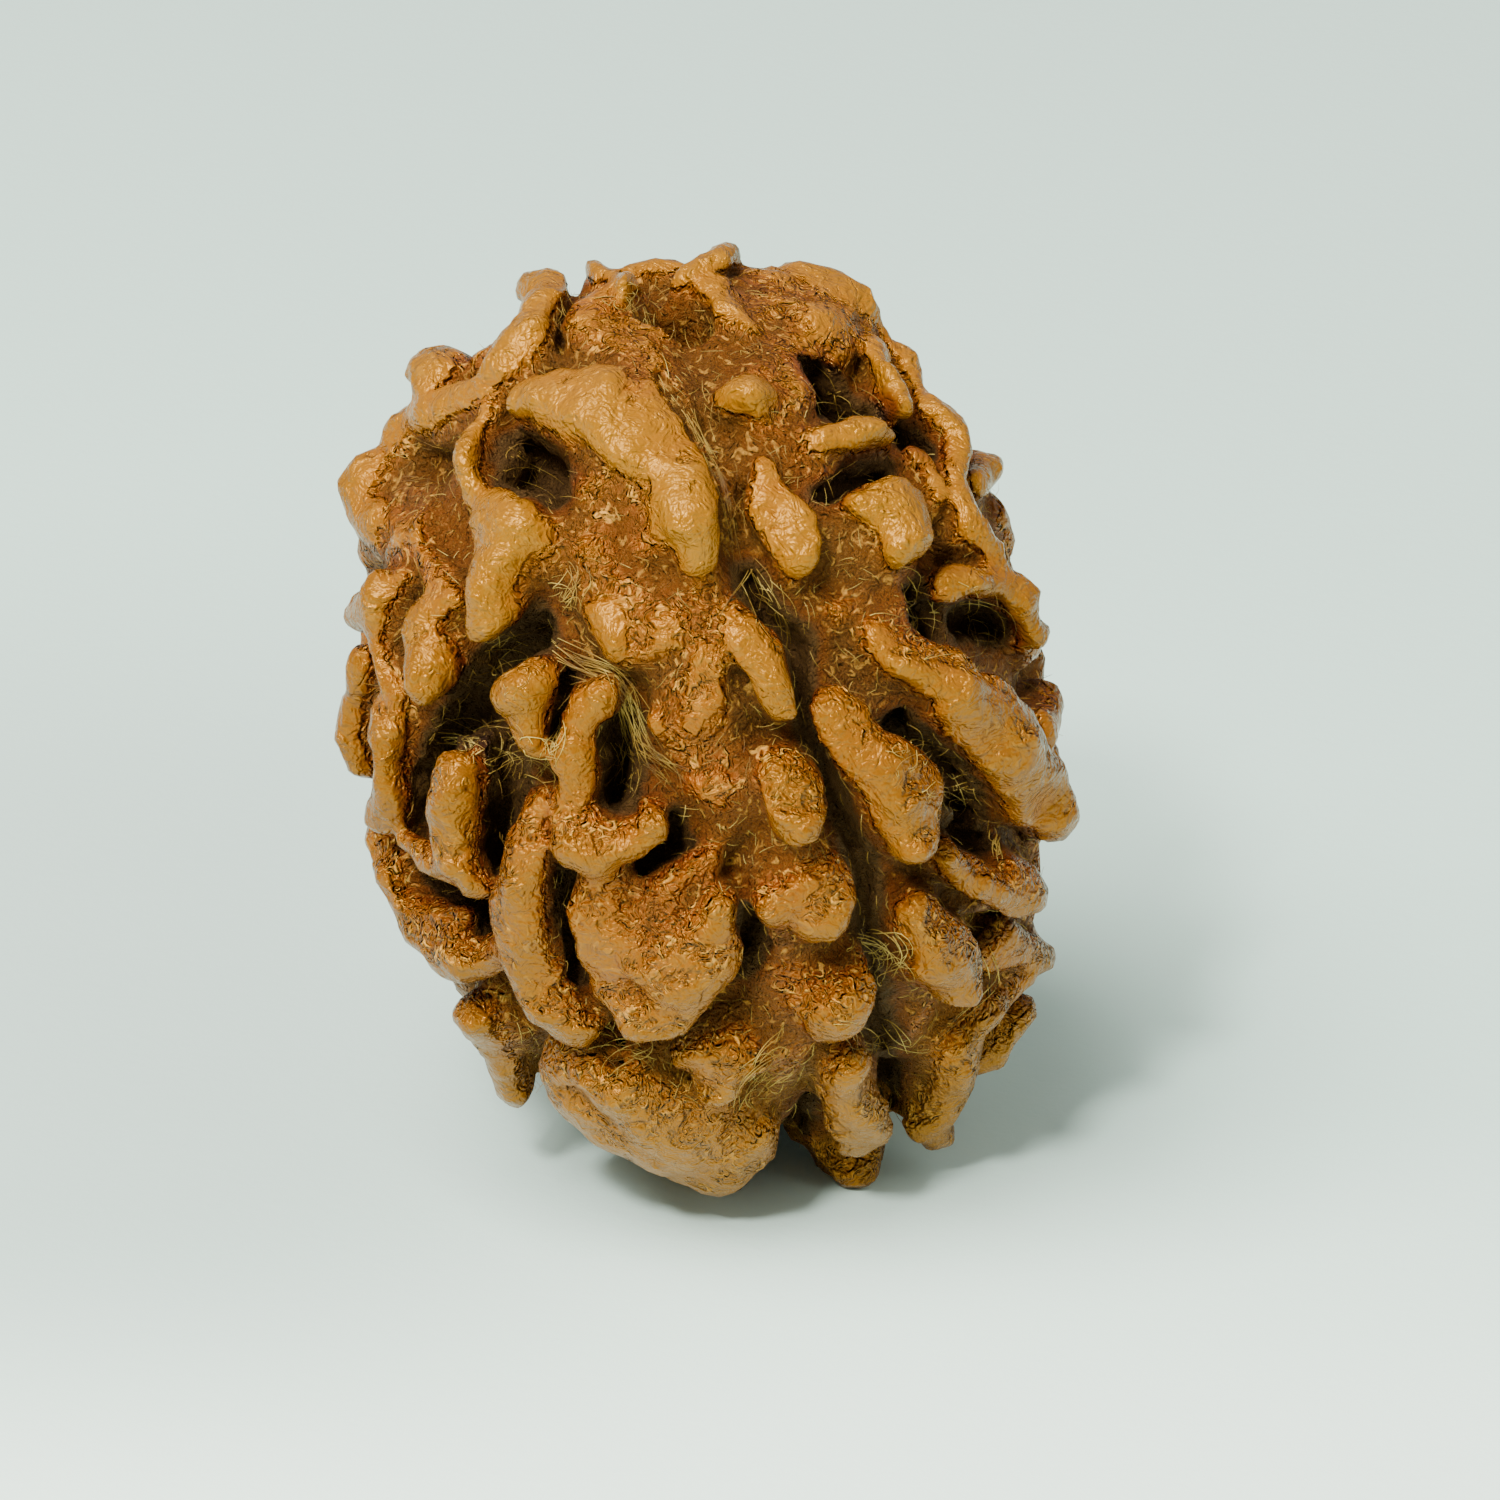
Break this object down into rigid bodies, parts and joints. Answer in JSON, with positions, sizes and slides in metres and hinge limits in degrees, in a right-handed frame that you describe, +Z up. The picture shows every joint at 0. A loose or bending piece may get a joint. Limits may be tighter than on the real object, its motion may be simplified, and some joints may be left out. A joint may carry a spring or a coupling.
{
  "type": "rudraksha seed",
  "caption": "Dried rudraksha seed standing on its blunt end: an egg-shaped stone covered in ridges, hanging knobs and deep pits, with a natural bore through its long axis.",
  "frame": {"origin": "on the surface that the seed stands on, under the middle of its bounding box", "axes": "+Z up along the seed's long axis, which leans a little towards -X at the top; -Y is the side that the picture shows; +X to its right"},
  "size_m": [0.0206, 0.0212, 0.0268],
  "materials": {
    "seed_shell": "dried seed shell, honey yellow and slightly waxy on the ridge tops, orange brown round their bases, fuzzy brown in the valleys, near black in the pits"
  },
  "bodies": {
    "root": {"rudraksha_seed": "seed_shell"}
  },
  "joints": []
}
